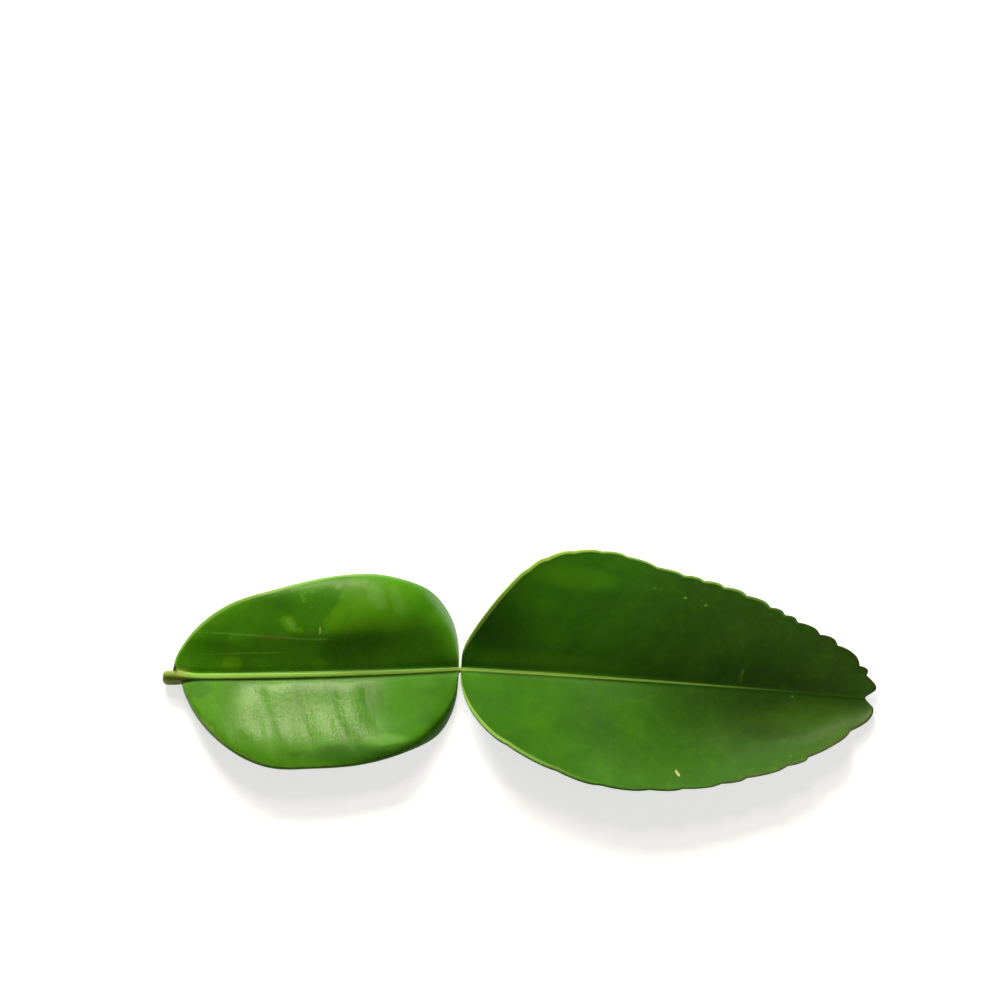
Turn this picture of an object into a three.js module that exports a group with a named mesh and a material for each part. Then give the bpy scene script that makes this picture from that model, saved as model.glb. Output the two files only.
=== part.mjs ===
// A lime leaf, picked and lying on its lower side: cut stalk end, winged stalk, blade with a scalloped edge.
// Millimetres, +Z up. The leaf runs along +X from the cut end to the tip, and "far" is its +Y side.

import * as THREE from 'three';

const { lerp, smoothstep } = THREE.MathUtils;

// ---- driving dimensions ----

const LENGTH = 127.2; // cut end to the notch in the tip
const WING_BASE = 2.6; // where the stalk widens into the wing
const WING_END = 53.6; // the waist, wing side
const BLADE_BASE = 53.9; // the waist, blade side

const LAMINA_THICKNESS = 0.35;
const EDGE_THICKNESS = 0.28;
const LEAF_GREEN = 0x4a8a22;

// The midrib as seen from above and in height: one arc along the wing and one along the blade.
const WAIST = new THREE.Vector3(53.75, 3.5, 1.5);
const WING_MIDRIB = new THREE.QuadraticBezierCurve3(
  new THREE.Vector3(0, 0, 1.5),
  new THREE.Vector3(27, -0.2, 3.2),
  WAIST,
);
const BLADE_MIDRIB = new THREE.QuadraticBezierCurve3(
  WAIST,
  new THREE.Vector3(90.5, 2.55, 1.4),
  new THREE.Vector3(LENGTH, 0.4, 1),
);

// Each half of the wing and the blade; lists go from its base to its tip in even steps.
// widths: how far it reaches from the midrib, before ends draw it in (more at a larger number) to a point.
// slopes: rise beside the midrib; rolls: how late it turns toward the height of its edge.
// edge: height of its edge above the table; notches: where its teeth part, counted from the cut end.
const WING_FAR = {
  side: 1, start: 1.6, end: WING_END, ends: [0.41, 0.47],
  widths: [14.3, 15.8, 16.5, 18.5, 21, 24.4, 32],
  slopes: [0.11, 0.17, 0.25, 0.32],
  rolls: [14, 14, 6, 3],
  edge: [1.6, 3.2, 4.4, 5.2, 5.4, 5, 3.6, 0.5, 0.2],
  folds: true,
};
const WING_NEAR = {
  side: -1, start: 3.6, end: WING_END, ends: [0.75, 0.35],
  widths: [29.4, 26.1, 22.9, 19.2, 17.2, 16, 14.7],
  slopes: [0.24, 0.12, 0.1, 0.04],
  rolls: [14, 18, 13, 24, 14],
  edge: [1.6, 2.8, 3.6, 4, 4, 3.6, 2.7, 0.5, 0.4],
};
const BLADE_FAR = {
  side: 1, start: BLADE_BASE, end: 130.6, ends: [0.34, 0.73],
  widths: [9.8, 20.3, 22.4, 20.9, 21.4, 21.9, 28.4],
  slopes: [0.34, 0.34, 0.38, 0.3],
  rolls: [2, 2],
  edge: [3.6, 6.8, 7, 6.1, 5.1, 3.4, 1.1],
  notches: [
    60.5, 65.6, 68.9, 73.8, 79.2, 83.9, 89.4, 94.5, 98.1, 101.9, 106.1, 110.5, 113.1, 115.4, 119.5, 122.8,
    127, 128.3, 132.8,
  ],
};
const BLADE_NEAR = {
  side: -1, start: BLADE_BASE, end: 128.9, ends: [0.48, 0.36],
  widths: [29.6, 26.4, 25.6, 23.5, 20.8, 17.5, 11.4],
  slopes: [0.36, 0.08, -0.2, -0.3],
  rolls: [2, 2, 2, 2.8, 3.2, 2.2],
  edge: [4.4, 5.4, 5.3, 4.8, 4.2, 3, 1],
  notches: [56, 62.8, 71.6, 79.4, 88.1, 94, 100.8, 105.3, 112.7, 116.6, 124.7, 133],
};

// How strongly the cross lines fan out at both ends of the wing and the blade.
const FAN = 0.6;
// Distance from the midrib over which the lamina takes on the height of its edge.
const RIB_INFLUENCE = 4;

// A fold along the far half of the wing, which dies out toward the waist.
const FOLD = { distance: 6.8, rise: 0.17, softness: 0.5, from: 3, full: 9, fades: 32, to: 46 };

// Low mounds of the wing: one beside the end of the fold, one on the near half.
const PUCKERS = [
  { x: 34.5, across: 9.4, height: 0.45, halfLength: 5, halfWidth: 4.2 },
  { x: 44, across: -16.5, height: 0.6, halfLength: 5.5, halfWidth: 4.5 },
];
const PUCKER_MARGIN = { from: 0.8, full: 4 }; // the mounds fade out over this distance from the midrib

// Teeth of the blade: arcs that lean toward the tip, of full depth there and shallower toward the base.
const TEETH = { depth: 0.92, smallest: 0.25, crest: 0.67, fadeIn: 6 };
const TIP_NOTCH = { halfWidth: 1.35, from: 0.8 };

// The midrib's section: at the base of the leaf, at its tip, and at the cut end.
const RIB_AT_BASE = { halfWidth: 0.72, rise: 0.34, depth: 1.15 };
const RIB_AT_TIP = { halfWidth: 0.16, rise: 0.02, depth: 0.15 };
const RIB_TAPER = { halfWidth: 1.6, rise: 2, depth: 1 }; // over 1: thins soon after the base
const CUT_END = { halfWidth: 1.25, rise: 1.1, depth: 1.15, until: 1.6, blendedBy: 7 };
// The cut face is smaller than the stalk, which reaches full size at the end of the rounding.
const CUT_ROUNDING = { length: 1.1, faceScale: 0.55 };

const TABLE_SOFTNESS = 0.24; // the skin bends over this height as it nears the table

// Stations along the leaf, and lines from the midrib to each edge.
const STUB_STATIONS = [0, 0.12, 0.45, 1.0, 1.8];
const WING_STATIONS = 26;
const BLADE_BASE_STATIONS = 20;
const BLADE_TIP_STATIONS = 72;
const DENSE_FROM = 0.44; // share of the blade from which its stations lie closer, for the larger teeth
const RIB_LINES = 2;
const LAMINA_LINES = 7;
const LINE_BUNCHING = 1.3; // lines lie closer together toward the edge
const NARROW_LAMINA = 3; // below this width the lines move onto the midrib
const STUB_MARGIN = 0.02; // the cut end's section closes just outside the midrib
const TANGENT_STEP = 0.004;

// ---- outline ----

/** Smooth value through evenly spaced values. */
function evenSpline(values, u) {
  const points = values.map((value, i) => new THREE.Vector2(i, value));
  return new THREE.SplineCurve(points).getPoint(u).y;
}

/** Half-width of one half of the lamina at a share u of its length. */
function halfWidth(half, u) {
  const [base, tip] = half.ends;
  const drawnIn = (2 * u) ** base * (2 * (1 - u)) ** tip;
  return evenSpline(half.widths, u) * drawnIn;
}

/** Share of the edge reached at a share u of the midrib: even in the middle, bunched at both ends. */
function fanOut(u) {
  return u - (FAN * Math.sin(2 * Math.PI * u)) / (2 * Math.PI);
}

/** Depth of the scalloped edge below its smooth outline at a place x along the leaf. */
function toothDepth(notches, x) {
  const first = notches[0];
  const last = notches.at(-1);
  if (x <= first || x >= last) return 0;
  const next = notches.findIndex((notch) => notch > x);
  const share = (x - notches[next - 1]) / (notches[next] - notches[next - 1]);
  const pastCrest = share - TEETH.crest;
  const cut = (pastCrest / (pastCrest < 0 ? TEETH.crest : 1 - TEETH.crest)) ** 2;
  const size = lerp(TEETH.smallest, 1, ((x - first) / (last - first)) ** 2);
  return TEETH.depth * size * smoothstep(x, first, first + TEETH.fadeIn) * cut;
}

/** Plan point on the smooth edge of one half, as x and distance from the midrib. */
function smoothEdge(half, u, ribHalfWidth) {
  const share = fanOut(u);
  return new THREE.Vector2(lerp(half.start, half.end, share), ribHalfWidth + halfWidth(half, share));
}

/** The same point on the real edge, with the blade's teeth and the notch in its tip. */
function realEdge(half, u, ribHalfWidth) {
  const edge = smoothEdge(half, u, ribHalfWidth);
  if (!half.notches) return edge;
  const ahead = smoothEdge(half, Math.min(1, u + TANGENT_STEP), ribHalfWidth);
  const behind = smoothEdge(half, Math.max(0, u - TANGENT_STEP), ribHalfWidth);
  const along = ahead.sub(behind).normalize();
  const outward = new THREE.Vector2(-along.y, along.x);
  edge.addScaledVector(outward, -toothDepth(half.notches, edge.x));
  const nearTip = smoothstep(u, TIP_NOTCH.from, 1);
  edge.x -= (half.end - LENGTH) * nearTip * Math.exp(-((edge.y / TIP_NOTCH.halfWidth) ** 2));
  return edge;
}

// ---- heights ----

/** Rise of the fold at a distance from the midrib, at a place x along the leaf: a curve up to a crease. */
function foldRise(x, distance) {
  const strength = smoothstep(x, FOLD.from, FOLD.full) * (1 - smoothstep(x, FOLD.fades, FOLD.to));
  const past = distance - FOLD.distance;
  const within = (past - Math.hypot(past, FOLD.softness)) / 2 + FOLD.distance;
  return (FOLD.rise * strength * within ** 2) / (2 * FOLD.distance);
}

/** Keeps a height above the table, and bends it smoothly as it nears it. */
function restOnTable(height) {
  return (height + Math.hypot(height, TABLE_SOFTNESS)) / 2;
}

/** Height that the wing's mounds add at a place along and across the leaf. */
function puckerRise(x, across) {
  const margin = smoothstep(Math.abs(across), PUCKER_MARGIN.from, PUCKER_MARGIN.full);
  return PUCKERS.reduce((total, pucker) => {
    const lengthwise = (x - pucker.x) / pucker.halfLength;
    const sideways = (across - pucker.across) / pucker.halfWidth;
    return total + margin * pucker.height * Math.exp(-(lengthwise ** 2) - sideways ** 2);
  }, 0);
}

/** Height of the lamina's middle at a distance from the midrib, in a section that reaches to the edge. */
function laminaHeight(half, u, rib, distance, reach) {
  const spread = 1 - Math.exp(-reach / RIB_INFLUENCE);
  const edgeHeight = lerp(rib.z, evenSpline(half.edge, u), spread);
  const turned = (distance / reach) ** evenSpline(half.rolls, u);
  const slope = evenSpline(half.slopes, u);
  const height = rib.z + (edgeHeight - rib.z) * turned + slope * (distance - reach * turned);
  if (!half.folds) return height;
  const fold = foldRise(rib.x, distance) - foldRise(rib.x, reach) * turned;
  return height + fold * spread;
}

// ---- the midrib and the cut end ----

/** Half-width, rise above the lamina and depth below it of the midrib at x. */
function ribSize(x) {
  const stub = 1 - smoothstep(x, CUT_END.until, CUT_END.blendedBy);
  const thickness = Math.max(0, 1 - x / LENGTH);
  const taper = (name) => lerp(RIB_AT_TIP[name], RIB_AT_BASE[name], thickness ** RIB_TAPER[name]);
  const blended = (name) => lerp(taper(name), CUT_END[name], stub);
  return { halfWidth: blended('halfWidth'), rise: blended('rise'), depth: blended('depth') };
}

/** Scale of the cut end's section: it is rounded over at the cut. */
function cutEndScale(x) {
  const reach = Math.max(0, 1 - x / CUT_ROUNDING.length);
  return lerp(CUT_ROUNDING.faceScale, 1, Math.sqrt(1 - reach * reach));
}

// ---- sections ----

/** Distances of the lines from the midrib to one edge, as shares of the half-width. */
function lineShares(ribHalfWidth, edgeDistance) {
  const lamina = edgeDistance - ribHalfWidth;
  const ribShare = RIB_LINES / (RIB_LINES + LAMINA_LINES);
  const inRib = lerp(ribShare, 1, smoothstep(lamina, 0, NARROW_LAMINA));
  const shares = [];
  for (let i = 1; i <= RIB_LINES; i += 1) {
    shares.push(((i / RIB_LINES) * inRib * ribHalfWidth) / edgeDistance);
  }
  for (let i = 1; i <= LAMINA_LINES; i += 1) {
    const part = 1 - (1 - i / LAMINA_LINES) ** LINE_BUNCHING;
    const inside = ribHalfWidth * lerp(inRib, 1, part);
    shares.push((inside + lamina * part) / edgeDistance);
  }
  return shares;
}

/** Upper and lower point of a section at a share v of the way from the midrib to one edge. */
function pointPair(station, half, v) {
  const { rib, size, scale, u, isLamina } = station;
  const edge = half.edgePoint;
  const distance = v * edge.y;
  const x = lerp(rib.x, edge.x, v);
  const y = rib.y + half.side * distance;
  const lamina = () => laminaHeight(half, u, rib, distance, half.smoothReach) + puckerRise(x, y - rib.y);
  const middle = isLamina ? lamina() : rib.z;
  const across = Math.min(1, distance / (size.halfWidth * scale));
  const ridge = Math.sqrt(1 - across * across) * scale;
  const thickness = lerp(LAMINA_THICKNESS, EDGE_THICKNESS, v);
  const floor = restOnTable(middle - thickness / 2);
  const upper = new THREE.Vector3(x, y, floor + thickness + ridge * size.rise);
  const lower = new THREE.Vector3(x, y, restOnTable(floor - ridge * size.depth));
  return { upper, lower };
}

/** One closed section of the leaf: over the top from the far edge, and back underneath. */
function section(station) {
  const ribHalfWidth = station.size.halfWidth * station.scale;
  const pairsOf = (half) => lineShares(ribHalfWidth, half.edgePoint.y)
    .map((v) => pointPair(station, half, v));
  const middle = pointPair(station, station.far, 0);
  const across = [...pairsOf(station.far).reverse(), middle, ...pairsOf(station.near)];
  const over = across.map((pair) => pair.upper);
  const under = across.map((pair) => pair.lower).reverse();
  return [...over, ...under];
}

/** A section of the cut end, which has no lamina. */
function stubSection(x) {
  const rib = WING_MIDRIB.getPoint(x / WING_END);
  const size = ribSize(x);
  const scale = cutEndScale(x);
  const edgePoint = new THREE.Vector2(rib.x, size.halfWidth * scale + STUB_MARGIN);
  const far = { side: 1, edgePoint };
  const near = { side: -1, edgePoint };
  return section({ rib, size, scale, u: 0, isLamina: false, far, near });
}

/** A section of the wing or the blade at a share u of its length. */
function laminaSection(stretch, u) {
  const { midrib, from, to } = stretch;
  const share = (lerp(from, to, u) - midrib.v0.x) / (midrib.v2.x - midrib.v0.x);
  const rib = midrib.getPoint(share);
  const size = ribSize(rib.x);
  const withEdge = (half) => ({
    ...half,
    edgePoint: realEdge(half, u, size.halfWidth),
    smoothReach: smoothEdge(half, u, size.halfWidth).y,
  });
  const far = withEdge(stretch.far);
  const near = withEdge(stretch.near);
  return section({ rib, size, scale: 1, u, isLamina: true, far, near });
}

/** Shares of the blade's length: even near its base, then closer. */
function bladeShares() {
  const shares = [];
  for (let i = 0; i < BLADE_BASE_STATIONS; i += 1) {
    shares.push((DENSE_FROM * i) / BLADE_BASE_STATIONS);
  }
  for (let i = 0; i <= BLADE_TIP_STATIONS; i += 1) {
    shares.push(lerp(DENSE_FROM, 1, i / BLADE_TIP_STATIONS));
  }
  return shares;
}

/** All sections from the cut end to the tip. */
function allSections() {
  const wing = { far: WING_FAR, near: WING_NEAR, midrib: WING_MIDRIB, from: WING_BASE, to: WING_END };
  const blade = { far: BLADE_FAR, near: BLADE_NEAR, midrib: BLADE_MIDRIB, from: BLADE_BASE, to: LENGTH };
  const sections = STUB_STATIONS.map(stubSection);
  for (let i = 0; i <= WING_STATIONS; i += 1) {
    sections.push(laminaSection(wing, i / WING_STATIONS));
  }
  for (const u of bladeShares()) {
    sections.push(laminaSection(blade, u));
  }
  return sections;
}

// ---- mesh ----

/** Joins the sections into one closed skin, with a cap on each end. */
function skin(sections) {
  const ring = sections[0].length;
  const positions = sections.flat().flatMap((point) => point.toArray());
  const faces = [];
  for (let s = 0; s < sections.length - 1; s += 1) {
    for (let i = 0; i < ring; i += 1) {
      const a = s * ring + i;
      const b = s * ring + ((i + 1) % ring);
      faces.push(a, b, b + ring, a, b + ring, a + ring);
    }
  }
  addCap(positions, faces, sections[0], 0, true);
  addCap(positions, faces, sections.at(-1), (sections.length - 1) * ring, false);
  const geometry = new THREE.BufferGeometry();
  geometry.setAttribute('position', new THREE.Float32BufferAttribute(positions, 3));
  geometry.setIndex(faces);
  return geometry;
}

/** Closes one end with a fan from the middle of its section. */
function addCap(positions, faces, points, first, isStart) {
  const sum = points.reduce((total, point) => total.add(point), new THREE.Vector3());
  const centre = positions.length / 3;
  positions.push(...sum.divideScalar(points.length).toArray());
  points.forEach((_, i) => {
    const a = first + i;
    const b = first + ((i + 1) % points.length);
    faces.push(...(isStart ? [centre, b, a] : [centre, a, b]));
  });
}

/** Moves the leaf so that its box stands centred on the origin. */
function centreOnTable(geometry) {
  geometry.computeBoundingBox();
  const { min, max } = geometry.boundingBox;
  geometry.translate(-(min.x + max.x) / 2, -(min.y + max.y) / 2, -min.z);
}

function buildLeaf() {
  const geometry = skin(allSections());
  centreOnTable(geometry);
  geometry.computeVertexNormals();
  const material = new THREE.MeshStandardMaterial({ color: LEAF_GREEN, roughness: 0.4, metalness: 0 });
  const mesh = new THREE.Mesh(geometry, material);
  mesh.name = 'leaf';
  return mesh;
}

const limeLeaf = new THREE.Group();
limeLeaf.name = 'lime_leaf';
limeLeaf.add(buildLeaf());

export default limeLeaf;
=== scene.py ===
"""A picked lime leaf lying on its lower side: cut stalk end, winged stalk, waist and scalloped blade."""

import math
from dataclasses import dataclass

import bpy
import numpy as np
from bpy.props import FloatProperty, FloatVectorProperty, PointerProperty
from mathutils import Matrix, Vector


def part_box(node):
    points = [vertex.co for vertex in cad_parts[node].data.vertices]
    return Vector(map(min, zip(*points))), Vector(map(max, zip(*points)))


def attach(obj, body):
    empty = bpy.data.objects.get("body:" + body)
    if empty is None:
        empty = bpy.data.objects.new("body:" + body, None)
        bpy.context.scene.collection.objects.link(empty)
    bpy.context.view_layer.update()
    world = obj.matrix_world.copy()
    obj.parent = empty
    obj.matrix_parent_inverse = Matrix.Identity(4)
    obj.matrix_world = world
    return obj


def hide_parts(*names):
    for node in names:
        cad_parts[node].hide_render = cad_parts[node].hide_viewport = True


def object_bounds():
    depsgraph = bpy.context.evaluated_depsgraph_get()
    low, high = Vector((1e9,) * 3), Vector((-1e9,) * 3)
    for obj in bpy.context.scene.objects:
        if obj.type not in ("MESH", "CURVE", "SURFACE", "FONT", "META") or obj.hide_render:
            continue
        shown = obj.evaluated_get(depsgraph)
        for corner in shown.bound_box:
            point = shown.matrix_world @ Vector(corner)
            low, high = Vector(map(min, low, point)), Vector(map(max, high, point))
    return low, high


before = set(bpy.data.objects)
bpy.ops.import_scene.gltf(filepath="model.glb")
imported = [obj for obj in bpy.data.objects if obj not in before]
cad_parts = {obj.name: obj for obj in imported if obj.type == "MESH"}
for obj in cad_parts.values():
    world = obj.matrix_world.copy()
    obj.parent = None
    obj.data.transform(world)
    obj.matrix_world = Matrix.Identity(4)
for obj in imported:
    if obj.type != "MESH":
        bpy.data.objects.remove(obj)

bl_info = {
    "name": "Lime leaf",
    "version": (1, 0, 0),
    "blender": (4, 5, 0),
    "location": "3D View > Sidebar > Leaf",
    "description": "Builds a lime leaf with a winged stalk, and a plain stage to see it on",
    "category": "Add Mesh",
}

MM = 0.001
CAD_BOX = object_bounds()
LEAF_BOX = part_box("leaf")
LEAF_LENGTH = (LEAF_BOX[1] - LEAF_BOX[0]).x

# Places along the leaf, in millimetres from the cut end, for a leaf of the drawn length.
TIP = 127.2
WING_BASE = 2.6
WING_END = 53.6
BLADE_BASE = 53.9
WAIST = 53.75


# ---- the drawn shape ----


@dataclass(frozen=True)
class Half:
    """One side of the wing or of the blade, from its base to its tip, in millimetres."""

    side: int  # +1 far, -1 near
    start: float
    end: float
    ends: tuple  # how pointed its base and its tip are
    widths: tuple  # how wide it reaches, in even steps, before its ends are drawn in
    slopes: tuple  # rise beside the midrib, in even steps
    rolls: tuple  # how late it turns toward the edge's height, in even steps
    edge: tuple  # heights of the edge above the table, in even steps
    notches: tuple = ()  # where the teeth part, the last one past the tip
    folds: bool = False


WING_FAR = Half(
    side=1, start=1.6, end=WING_END, ends=(0.41, 0.47),
    widths=(14.3, 15.8, 16.5, 18.5, 21.0, 24.4, 32.0),
    slopes=(0.11, 0.17, 0.25, 0.32),
    rolls=(14, 14, 6, 3),
    edge=(1.6, 3.2, 4.4, 5.2, 5.4, 5.0, 3.6, 0.5, 0.2),
    folds=True,
)
WING_NEAR = Half(
    side=-1, start=3.6, end=WING_END, ends=(0.75, 0.35),
    widths=(29.4, 26.1, 22.9, 19.2, 17.2, 16.0, 14.7),
    slopes=(0.24, 0.12, 0.1, 0.04),
    rolls=(14, 18, 13, 24, 14),
    edge=(1.6, 2.8, 3.6, 4.0, 4.0, 3.6, 2.7, 0.5, 0.4),
)
BLADE_FAR = Half(
    side=1, start=BLADE_BASE, end=130.6, ends=(0.34, 0.73),
    widths=(9.8, 20.3, 22.4, 20.9, 21.4, 21.9, 28.4),
    slopes=(0.34, 0.34, 0.38, 0.3),
    rolls=(2, 2),
    edge=(3.6, 6.8, 7.0, 6.1, 5.1, 3.4, 1.1),
    notches=(
        60.5, 65.6, 68.9, 73.8, 79.2, 83.9, 89.4, 94.5, 98.1, 101.9, 106.1, 110.5, 113.1, 115.4, 119.5, 122.8,
        127.0, 128.3, 132.8,
    ),
)
BLADE_NEAR = Half(
    side=-1, start=BLADE_BASE, end=128.9, ends=(0.48, 0.36),
    widths=(29.6, 26.4, 25.6, 23.5, 20.8, 17.5, 11.4),
    slopes=(0.36, 0.08, -0.2, -0.3),
    rolls=(2, 2, 2, 2.8, 3.2, 2.2),
    edge=(4.4, 5.4, 5.3, 4.8, 4.2, 3.0, 1.0),
    notches=(56.0, 62.8, 71.6, 79.4, 88.1, 94.0, 100.8, 105.3, 112.7, 116.6, 124.7, 133.0),
)

# The midrib's two arcs, each by its start, its pull and its end.
WING_MIDRIB = ((0.0, 0.0, 1.5), (27.0, -0.2, 3.2), (WAIST, 3.5, 1.5))
BLADE_MIDRIB = ((WAIST, 3.5, 1.5), (90.5, 2.55, 1.4), (TIP, 0.4, 1.0))

# The midrib's section beyond the cut end. Its half-width is in shares of half the midrib width.
RIB_WIDTH_AT_TIP, RIB_WIDTH_LOST, RIB_WIDTH_TAPER = 0.25, 0.9, 1.6
RIB_RISE, RIB_RISE_TAPER = 0.34, 2.5
RIB_DEPTH_AT_BASE, RIB_DEPTH_AT_TIP = 1.15, 0.15
# The cut end is thicker, and rounded over at the cut.
CUT_HALF_WIDTH, CUT_RISE, CUT_DEPTH = 1.25, 1.1, 1.15
CUT_UNTIL, CUT_BLENDED_BY = 1.6, 7.0
CUT_ROUNDING, CUT_FACE_SCALE = 1.1, 0.55
# The rings of the cut face as shares of its rim, how far it sinks, and its unevenness.
CUT_FACE_RINGS = (0.82, 0.6, 0.35, 0.12)
CUT_FACE_SINKS, CUT_FACE_UNEVEN = 0.16, 0.05

# A fold along the far half of the wing, which wanders a little and dies out toward the waist.
FOLD_DISTANCE, FOLD_RISE, FOLD_SOFTNESS = 6.8, 0.17, 0.5
FOLD_FROM, FOLD_FULL, FOLD_FADES, FOLD_TO = 3.0, 9.0, 32.0, 46.0
FOLD_WANDER = ((0.35, 3.1), (0.2, 1.3))  # height and length of each wave
# Swellings of the wing: place along and across, height, and half lengths along and across.
PUCKERS = ((34.5, 9.4, 0.45, 5.0, 4.2), (44.0, -16.5, 0.6, 5.5, 4.5))

FAN = 0.6  # how strongly the cross lines fan out at both ends of the wing and the blade
RIB_INFLUENCE = 4.0  # distance from the midrib over which the lamina takes on the height of its edge
TABLE_SOFTNESS = 0.24  # the skin bends over this height as it nears the table
LOWER_SKIN_DROP = 0.1  # how much closer to the table the lower skin comes

TOOTH_CREST = 0.67  # share of each tooth's length, toward the tip, where it reaches out most
SMALLEST_TOOTH = 0.25  # share of the full depth
TEETH_FADE_IN = 6.0
TEETH_FROM = 0.44  # share of the blade from which its sections lie closer
TIP_NOTCH_HALF_WIDTH, TIP_NOTCH_FROM = 1.35, 0.8
TANGENT_STEP = 0.004

# The edge is rounded over; its rim swells, most at the blade's base, and a groove runs beside the midrib.
EDGE_ROUNDING = 0.3
RIM_INSET = 0.35
BLADE_RIM, BLADE_RIM_KEPT, WING_RIM = 0.055, 0.35, 0.02
RIM_FADES, RIM_GONE = WAIST + 20, TIP - 12
GROOVE_DEPTH, GROOVE_OFFSET, GROOVE_HALF_WIDTH, GROOVE_LOST_AT_TIP = 0.1, 0.3, 0.55, 0.8

# Side veins: slant, bend toward the tip, unevenness, and where the first one of each side starts.
BLADE_SLANT, WING_SLANT = 0.42, 0.14
VEIN_BEND = 0.012
VEIN_UNEVEN = 0.9
VEIN_START = {1: 0.5, -1: -0.3}
# The lamina puffs up between them, calm up to some distance from the midrib and from the edge.
PUFF_ROUNDING = 0.03
PUFF_UNEVEN = 0.5
FLAT_PUFF, WING_NEAR_PUFF = 0.4, 1.2
RELIEF_BELOW = 0.8
RIB_MARGIN = (0.8, 4.0)
EDGE_MARGIN_FROM, BLADE_EDGE_MARGIN, WING_EDGE_MARGIN = 1.0, 13.0, 5.0

# Irregular waves: wave length in millimetres and seed.
BROAD_WAVES, CLOSE_WAVES, VEIN_WAVES, PUFF_WAVES, CUT_WAVES = (27, 3), (6, 8), (26, 5), (17, 11), (0.9, 21)
BROAD_HEIGHT, CLOSE_HEIGHT = 0.16, 0.02
BROAD_MARGIN, CLOSE_MARGIN = (1.0, 9.0), (0.8, 3.0)
STEADY_WIDTH = 8.0  # narrower parts of the lamina wave less

# How finely the skin is sampled.
STUB_STEPS = 26
STUB_BUNCHING = 1.6
WING_STEPS = 130
BLADE_BASE_STEPS = 130
BLADE_TIP_STEPS = 180
RIB_LINES = 7
LAMINA_LINES = 38
EDGE_LINES = 5
EDGE_ZONE = 0.35
NARROW_LAMINA = 3.0  # below this width the lines move onto the midrib
STUB_MARGIN = 0.02  # the cut end's section closes just outside the midrib

MARK_NAMES = ("along", "across", "inset", "phase")


def smooth(value, low, high):
    """0 below low, 1 above high, and a smooth step between."""
    t = np.clip((value - low) / (high - low), 0.0, 1.0)
    return t * t * (3 - 2 * t)


def mix(a, b, share):
    """From a to b."""
    return a + (b - a) * share


def bell(value, width):
    """1 at zero, and falling off on both sides over a width."""
    return np.exp(-((value / width) ** 2))


def arc_point(arc, share):
    """Points on one of the midrib's arcs, one row each."""
    start, pull, end = (np.array(point) for point in arc)
    share = np.asarray(share)[:, None]
    return start * (1 - share) ** 2 + pull * 2 * share * (1 - share) + end * share**2


def slow_waves(x, y, length, seed):
    """Smooth irregular waves of about one wave length, between about -1 and 1."""
    draw = np.random.default_rng(seed)
    total = np.zeros(np.broadcast(x, y).shape)
    directions = 7
    for _ in range(directions):
        angle = draw.uniform(0, math.pi)
        pace = 2 * math.pi / (length * draw.uniform(0.7, 1.5))
        total += np.sin(pace * (x * math.cos(angle) + y * math.sin(angle)) + draw.uniform(0, 2 * math.pi))
    return total / math.sqrt(directions * 2)


def even_spline(heights, share):
    """A smooth value through evenly spaced heights, at each share of the way."""
    last = len(heights) - 1
    place = np.clip(np.asarray(share) * last, 0, last - 1e-9)
    step = place.astype(int)
    t = place - step
    padded = np.array(heights)
    before, here = padded[np.maximum(step - 1, 0)], padded[step]
    after, beyond = padded[step + 1], padded[np.minimum(step + 2, last)]
    bend = 2 * before - 5 * here + 4 * after - beyond
    twist = 3 * (here - after) + beyond - before
    return here + 0.5 * t * (after - before + t * (bend + t * twist))


# ---- outline ----


def half_width(half, share):
    """How far the lamina reaches beyond the midrib at each share of its length."""
    toward_base, toward_tip = half.ends
    share = np.clip(share, 0, 1)
    drawn_in = (2 * share) ** toward_base * (2 * (1 - share)) ** toward_tip
    return even_spline(half.widths, share) * drawn_in


def fan_out(u):
    """Share of the edge that a share of the midrib belongs to: bunched at both ends."""
    return u - FAN * np.sin(2 * math.pi * u) / (2 * math.pi)


def smooth_edge(half, u, rib_half_width):
    """Plan points of the edge without teeth: x, and distance from the midrib."""
    share = fan_out(u)
    return np.stack([mix(half.start, half.end, share), rib_half_width + half_width(half, share)], -1)


def tooth_cut(half, x, shape):
    """How deep the scalloped edge lies below the smooth one: rounded teeth that lean toward the tip."""
    first, last = half.notches[0], half.notches[-1]
    tooth = np.interp(x, half.notches, np.arange(len(half.notches)))
    past_crest = tooth - np.floor(tooth) - TOOTH_CREST
    cut = (past_crest / np.where(past_crest < 0, TOOTH_CREST, 1 - TOOTH_CREST)) ** 2
    size = mix(SMALLEST_TOOTH, 1.0, ((x - first) / (last - first)) ** 2)
    growth = smooth(x, first, first + TEETH_FADE_IN) * size
    return shape.tooth_depth / MM * growth * cut


def real_edge(half, u, rib_half_width, shape):
    """Plan points of the real edge, with the blade's teeth and the notch in its tip."""
    edge = smooth_edge(half, u, rib_half_width)
    if not half.notches:
        return edge
    ahead = smooth_edge(half, np.minimum(u + TANGENT_STEP, 1), rib_half_width)
    behind = smooth_edge(half, np.maximum(u - TANGENT_STEP, 0), rib_half_width)
    along = ahead - behind
    along /= np.linalg.norm(along, axis=1)[:, None]
    outward = np.stack([-along[:, 1], along[:, 0]], -1)
    edge -= outward * tooth_cut(half, edge[:, 0], shape)[:, None]
    near_tip = smooth(u, TIP_NOTCH_FROM, 1)
    edge[:, 0] -= (half.end - TIP) * near_tip * bell(edge[:, 1], TIP_NOTCH_HALF_WIDTH)
    return edge


# ---- the midrib and the cut end ----


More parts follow.
